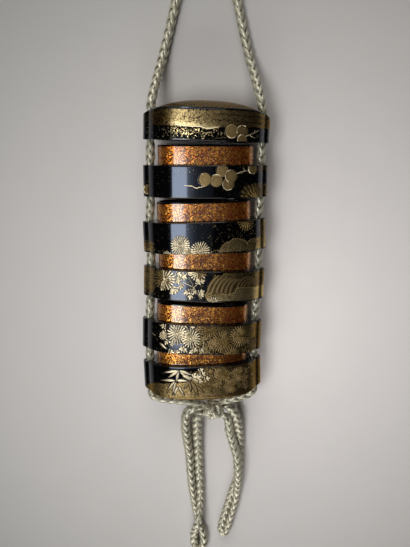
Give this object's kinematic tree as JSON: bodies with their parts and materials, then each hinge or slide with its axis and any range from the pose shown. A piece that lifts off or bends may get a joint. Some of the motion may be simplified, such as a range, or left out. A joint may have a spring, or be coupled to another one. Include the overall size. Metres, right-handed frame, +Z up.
{
  "type": "inro case",
  "caption": "Small stacked lacquer case worn from a sash, drawn out along its braided silk cord so that each lidded compartment shows its riser.",
  "frame": {"origin": "on the resting surface, under the middle of the six sections together", "axes": "+Y runs along the row of sections towards the lid, +X is across to the right seen from above, +Z is up, out of the decorated front"},
  "size_m": [0.0568, 0.3166, 0.0246],
  "materials": {
    "black_lacquer": "polished black lacquer with gold maki-e; risers and insides of orange nashiji lacquer",
    "silk_braid": "grey-green braided silk with a soft sheen"
  },
  "bodies": {
    "root": {"lid": "black_lacquer", "first_case": "black_lacquer", "second_case": "black_lacquer", "third_case": "black_lacquer", "fourth_case": "black_lacquer", "bottom_case": "black_lacquer", "silk_cord": "silk_braid"}
  },
  "joints": []
}
